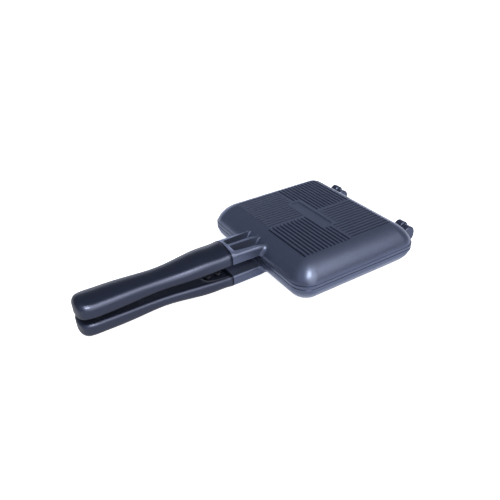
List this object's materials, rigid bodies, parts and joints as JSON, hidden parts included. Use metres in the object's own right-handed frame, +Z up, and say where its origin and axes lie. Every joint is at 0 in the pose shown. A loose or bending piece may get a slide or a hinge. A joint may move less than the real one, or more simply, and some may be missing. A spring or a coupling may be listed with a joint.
{
  "type": "pie iron",
  "caption": "Hand-held pie iron: two hinged square pans with a hollow between them, grooved outside, each with a ribbed stub and a long moulded grip.",
  "frame": {"origin": "centre of the pans on the flat outside of the lower pan, which the closed iron stands on", "axes": "+Z up, square to the parting plane; -Y along the handles; +X to the right, seen from the handles"},
  "size_m": [0.1506, 0.3116, 0.0425],
  "materials": {
    "pan_coating": "satin dark blue-grey non-stick coating on die-cast aluminium",
    "grip_plastic": "fine matt moulded heat-proof plastic, charcoal",
    "screw_steel": "blackened steel",
    "insert_brass": "turned brass",
    "magnet_plating": "nickel-plated magnet",
    "pin_steel": "ground stainless steel pin"
  },
  "bodies": {
    "lower_half": {"lower_pan": "pan_coating", "lower_grip": "grip_plastic", "lower_grip_screws": "screw_steel", "lower_grip_inserts": "insert_brass", "lower_magnet": "magnet_plating"},
    "hinge_pins": {"left_hinge_pin": "pin_steel", "right_hinge_pin": "pin_steel"},
    "upper_half": {"upper_pan": "pan_coating", "upper_grip": "grip_plastic", "upper_grip_screws": "screw_steel", "upper_grip_inserts": "insert_brass", "upper_magnet": "magnet_plating"}
  },
  "joints": [
    {"name": "pan_hinge", "type": "hinge", "parent": "lower_half", "child": "hinge_pins", "pos_m": [0, 0.075, 0.02125], "axis": [-1, 0, 0], "range_deg": [0, 180]},
    {"name": "slide_apart", "type": "slide", "parent": "hinge_pins", "child": "upper_half", "axis": [-1, 0, 0], "range_m": [0, 0.0064]}
  ]
}
